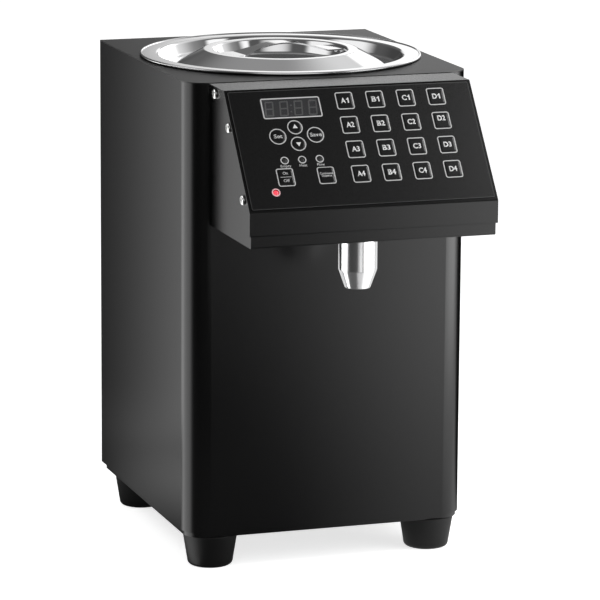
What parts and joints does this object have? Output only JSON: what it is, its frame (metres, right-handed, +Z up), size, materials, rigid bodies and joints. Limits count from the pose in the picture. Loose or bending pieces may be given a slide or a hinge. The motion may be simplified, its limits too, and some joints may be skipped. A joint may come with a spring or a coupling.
{
  "type": "syrup dispenser",
  "caption": "Free-standing black sheet-metal syrup dispenser: lift-off steel lid over a heated pot, gear pump, sloping keypad head and polished steel spout.",
  "frame": {"origin": "on the standing surface, at the middle of the width and of the overall depth", "axes": "+Z up, -Y the front with the control head and spout, +X to the right of someone facing the keypad"},
  "size_m": [0.272, 0.41, 0.4677],
  "materials": {
    "cabinet_black": "satin black powder coat on sheet steel",
    "foot_rubber": "matt black moulded rubber",
    "screw_steel": "bright zinc-plated pan heads",
    "keypad_film": "black printed polyester film with light grey lines",
    "key_black": "black key caps with light grey marks",
    "smoked_window": "smoked clear acrylic",
    "display_grey": "dark grey display block with unlit grey digits",
    "lamp_lens": "domed lamp lenses, dark when unlit",
    "board_green": "green solder mask",
    "moulded_black": "black moulded plastic",
    "rocker_black": "black rocker",
    "polished_steel": "mirror-polished stainless steel",
    "satin_steel": "satin stainless steel",
    "spring_steel": "drawn spring wire and strip",
    "brass_fitting": "nickel-washed brass fitting",
    "heater_silicone": "orange-red silicone heater mat",
    "felt_grey": "grey insulating felt",
    "silicone_hose": "milky food-grade silicone",
    "pump_aluminium": "machined aluminium",
    "gear_steel": "hobbed stainless steel",
    "motor_can": "dark painted motor can",
    "supply_aluminium": "folded aluminium case",
    "wire_black": "sleeved leads"
  },
  "bodies": {
    "cabinet": {"base_tray": "cabinet_black", "body_wrap": "cabinet_black", "control_board": "board_green", "discharge_hose": "silicone_hose", "display_module": "display_grey", "display_window": "smoked_window", "head_cover": "cabinet_black", "head_housing": "cabinet_black", "heater_band": "heater_silicone", "hose_clamps": "spring_steel", "housing_screws": "screw_steel", "indicator_leds": "lamp_lens", "insulation_jacket": "felt_grey", "key_switches": "moulded_black", "keypad_overlay": "keypad_film", "nozzle_body": "polished_steel", "nozzle_fitting": "brass_fitting", "pot_outlet": "brass_fitting", "pot_sensor": "satin_steel", "power_inlet": "moulded_black", "power_supply": "supply_aluminium", "pump_body": "pump_aluminium", "pump_cover": "pump_aluminium", "pump_motor": "motor_can", "rear_panel": "cabinet_black", "rubber_feet": "foot_rubber", "suction_hose": "silicone_hose", "switch_frame": "moulded_black", "syrup_pot": "satin_steel", "top_plate": "cabinet_black", "valve_spring": "spring_steel", "wiring_loom": "wire_black"},
    "lid": {"lid": "polished_steel", "lid_handle": "polished_steel"},
    "valve": {"valve_poppet": "satin_steel"},
    "pump_drive": {"pump_drive_gear": "gear_steel"},
    "pump_idler": {"pump_idler_gear": "gear_steel"},
    "rocker": {"power_rocker": "rocker_black"},
    "button_a1": {"key_a1": "key_black"},
    "button_a2": {"key_a2": "key_black"},
    "button_a3": {"key_a3": "key_black"},
    "button_a4": {"key_a4": "key_black"},
    "button_b1": {"key_b1": "key_black"},
    "button_b2": {"key_b2": "key_black"},
    "button_b3": {"key_b3": "key_black"},
    "button_b4": {"key_b4": "key_black"},
    "button_c1": {"key_c1": "key_black"},
    "button_c2": {"key_c2": "key_black"},
    "button_c3": {"key_c3": "key_black"},
    "button_c4": {"key_c4": "key_black"},
    "button_d1": {"key_d1": "key_black"},
    "button_d2": {"key_d2": "key_black"},
    "button_d3": {"key_d3": "key_black"},
    "button_d4": {"key_d4": "key_black"},
    "button_set": {"key_set": "key_black"},
    "button_save": {"key_save": "key_black"},
    "button_up": {"key_up": "key_black"},
    "button_down": {"key_down": "key_black"},
    "button_power": {"key_power": "key_black"},
    "button_continuous": {"key_continuous": "key_black"}
  },
  "joints": [
    {"name": "lid_lift", "type": "slide", "parent": "cabinet", "child": "lid", "axis": [0, 0, 1], "range_m": [0, 0.08]},
    {"name": "valve_open", "type": "slide", "parent": "cabinet", "child": "valve", "axis": [0, 0, -1], "range_m": [0, 0.003], "stiffness_N_per_m": 300, "springref_m": -0.004, "deforming": ["valve_spring"]},
    {"name": "pump_spin", "type": "hinge", "parent": "cabinet", "child": "pump_drive", "pos_m": [-0.06, 0.0182, 0.08], "axis": [0, 1, 0], "continuous": true},
    {"name": "idler_spin", "type": "hinge", "parent": "cabinet", "child": "pump_idler", "pos_m": [-0.06, 0.0182, 0.1041], "axis": [0, 1, 0], "continuous": true},
    {"name": "rocker_tip", "type": "hinge", "parent": "cabinet", "child": "rocker", "pos_m": [0.03, 0.1975, 0.115], "axis": [-1, 0, 0], "range_deg": [0, 18]},
    {"name": "press_a1", "type": "slide", "parent": "cabinet", "child": "button_a1", "axis": [0, 0.789, -0.6144], "range_m": [0, 0.0005], "stiffness_N_per_m": 1200, "springref_m": -0.001},
    {"name": "press_a2", "type": "slide", "parent": "cabinet", "child": "button_a2", "axis": [0, 0.789, -0.6144], "range_m": [0, 0.0005], "stiffness_N_per_m": 1200, "springref_m": -0.001},
    {"name": "press_a3", "type": "slide", "parent": "cabinet", "child": "button_a3", "axis": [0, 0.789, -0.6144], "range_m": [0, 0.0005], "stiffness_N_per_m": 1200, "springref_m": -0.001},
    {"name": "press_a4", "type": "slide", "parent": "cabinet", "child": "button_a4", "axis": [0, 0.789, -0.6144], "range_m": [0, 0.0005], "stiffness_N_per_m": 1200, "springref_m": -0.001},
    {"name": "press_b1", "type": "slide", "parent": "cabinet", "child": "button_b1", "axis": [0, 0.789, -0.6144], "range_m": [0, 0.0005], "stiffness_N_per_m": 1200, "springref_m": -0.001},
    {"name": "press_b2", "type": "slide", "parent": "cabinet", "child": "button_b2", "axis": [0, 0.789, -0.6144], "range_m": [0, 0.0005], "stiffness_N_per_m": 1200, "springref_m": -0.001},
    {"name": "press_b3", "type": "slide", "parent": "cabinet", "child": "button_b3", "axis": [0, 0.789, -0.6144], "range_m": [0, 0.0005], "stiffness_N_per_m": 1200, "springref_m": -0.001},
    {"name": "press_b4", "type": "slide", "parent": "cabinet", "child": "button_b4", "axis": [0, 0.789, -0.6144], "range_m": [0, 0.0005], "stiffness_N_per_m": 1200, "springref_m": -0.001},
    {"name": "press_c1", "type": "slide", "parent": "cabinet", "child": "button_c1", "axis": [0, 0.789, -0.6144], "range_m": [0, 0.0005], "stiffness_N_per_m": 1200, "springref_m": -0.001},
    {"name": "press_c2", "type": "slide", "parent": "cabinet", "child": "button_c2", "axis": [0, 0.789, -0.6144], "range_m": [0, 0.0005], "stiffness_N_per_m": 1200, "springref_m": -0.001},
    {"name": "press_c3", "type": "slide", "parent": "cabinet", "child": "button_c3", "axis": [0, 0.789, -0.6144], "range_m": [0, 0.0005], "stiffness_N_per_m": 1200, "springref_m": -0.001},
    {"name": "press_c4", "type": "slide", "parent": "cabinet", "child": "button_c4", "axis": [0, 0.789, -0.6144], "range_m": [0, 0.0005], "stiffness_N_per_m": 1200, "springref_m": -0.001},
    {"name": "press_d1", "type": "slide", "parent": "cabinet", "child": "button_d1", "axis": [0, 0.789, -0.6144], "range_m": [0, 0.0005], "stiffness_N_per_m": 1200, "springref_m": -0.001},
    {"name": "press_d2", "type": "slide", "parent": "cabinet", "child": "button_d2", "axis": [0, 0.789, -0.6144], "range_m": [0, 0.0005], "stiffness_N_per_m": 1200, "springref_m": -0.001},
    {"name": "press_d3", "type": "slide", "parent": "cabinet", "child": "button_d3", "axis": [0, 0.789, -0.6144], "range_m": [0, 0.0005], "stiffness_N_per_m": 1200, "springref_m": -0.001},
    {"name": "press_d4", "type": "slide", "parent": "cabinet", "child": "button_d4", "axis": [0, 0.789, -0.6144], "range_m": [0, 0.0005], "stiffness_N_per_m": 1200, "springref_m": -0.001},
    {"name": "press_set", "type": "slide", "parent": "cabinet", "child": "button_set", "axis": [0, 0.789, -0.6144], "range_m": [0, 0.0005], "stiffness_N_per_m": 1200, "springref_m": -0.001},
    {"name": "press_save", "type": "slide", "parent": "cabinet", "child": "button_save", "axis": [0, 0.789, -0.6144], "range_m": [0, 0.0005], "stiffness_N_per_m": 1200, "springref_m": -0.001},
    {"name": "press_up", "type": "slide", "parent": "cabinet", "child": "button_up", "axis": [0, 0.789, -0.6144], "range_m": [0, 0.0005], "stiffness_N_per_m": 1200, "springref_m": -0.001},
    {"name": "press_down", "type": "slide", "parent": "cabinet", "child": "button_down", "axis": [0, 0.789, -0.6144], "range_m": [0, 0.0005], "stiffness_N_per_m": 1200, "springref_m": -0.001},
    {"name": "press_power", "type": "slide", "parent": "cabinet", "child": "button_power", "axis": [0, 0.789, -0.6144], "range_m": [0, 0.0005], "stiffness_N_per_m": 1200, "springref_m": -0.001},
    {"name": "press_continuous", "type": "slide", "parent": "cabinet", "child": "button_continuous", "axis": [0, 0.789, -0.6144], "range_m": [0, 0.0005], "stiffness_N_per_m": 1200, "springref_m": -0.001}
  ],
  "couplings": [
    {"joint": "idler_spin", "follows": "pump_spin", "ratio": -1}
  ]
}
